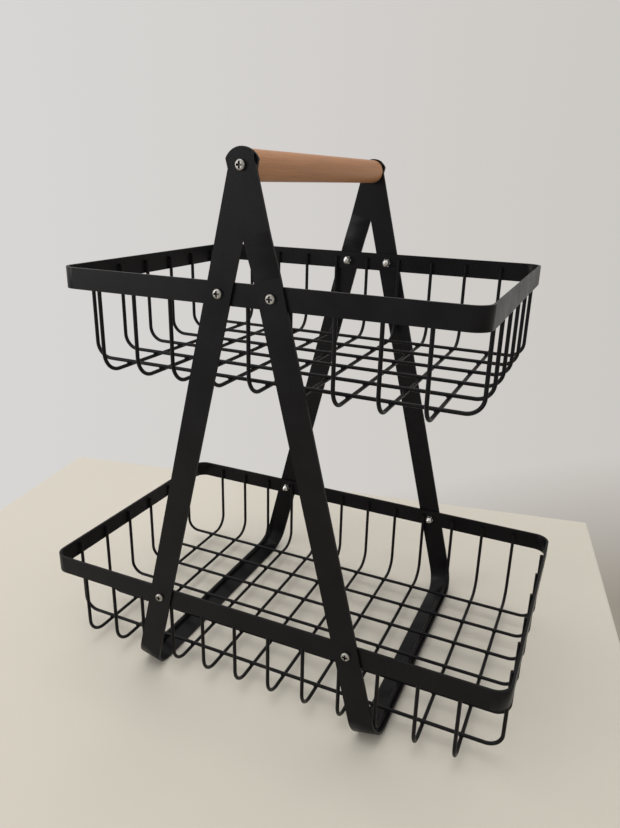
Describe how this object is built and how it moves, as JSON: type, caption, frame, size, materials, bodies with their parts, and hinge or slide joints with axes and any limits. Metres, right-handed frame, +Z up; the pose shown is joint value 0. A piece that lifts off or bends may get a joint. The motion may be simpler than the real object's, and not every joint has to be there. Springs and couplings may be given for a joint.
{
  "type": "tiered wire basket",
  "caption": "Free-standing basket stand of black wire: a smaller wire basket above a larger one, screwed between crossed flat straps that meet at a wooden carrying handle.",
  "frame": {"origin": "on the floor, under the middle of the handle", "axes": "+X along the baskets' long side, +Y along the handle from front to back, +Z up"},
  "size_m": [0.406, 0.2532, 0.4317],
  "materials": {
    "black_coat": "matte powder coat",
    "beech": "oiled, satin",
    "zinc": "dull zinc plate",
    "nut_plating": "bright nickel plate"
  },
  "bodies": {
    "frame": {"right_strap": "black_coat", "left_strap": "black_coat", "upper_rim": "black_coat", "lower_rim": "black_coat", "upper_cross_wire_1": "black_coat", "upper_cross_wire_2": "black_coat", "upper_cross_wire_3": "black_coat", "upper_cross_wire_4": "black_coat", "upper_cross_wire_5": "black_coat", "upper_cross_wire_6": "black_coat", "upper_cross_wire_7": "black_coat", "upper_cross_wire_8": "black_coat", "upper_cross_wire_9": "black_coat", "upper_long_wire_1": "black_coat", "upper_long_wire_2": "black_coat", "upper_long_wire_3": "black_coat", "upper_long_wire_4": "black_coat", "upper_long_wire_5": "black_coat", "upper_long_wire_6": "black_coat", "lower_cross_wire_1": "black_coat", "lower_cross_wire_2": "black_coat", "lower_cross_wire_3": "black_coat", "lower_cross_wire_4": "black_coat", "lower_cross_wire_5": "black_coat", "lower_cross_wire_6": "black_coat", "lower_cross_wire_7": "black_coat", "lower_cross_wire_8": "black_coat", "lower_cross_wire_9": "black_coat", "lower_cross_wire_10": "black_coat", "lower_cross_wire_11": "black_coat", "lower_cross_wire_12": "black_coat", "lower_long_wire_1": "black_coat", "lower_long_wire_2": "black_coat", "lower_long_wire_3": "black_coat", "lower_long_wire_4": "black_coat", "lower_long_wire_5": "black_coat", "lower_long_wire_6": "black_coat", "upper_rim_screws": "zinc", "lower_rim_screws": "zinc", "upper_cap_nuts": "nut_plating", "lower_cap_nuts": "nut_plating"},
    "handle": {"handle": "beech", "handle_screws": "zinc"}
  },
  "joints": [
    {"name": "handle_turn", "type": "hinge", "parent": "frame", "child": "handle", "pos_m": [0, 0, 0.4207], "axis": [0, 1, 0], "continuous": true}
  ]
}
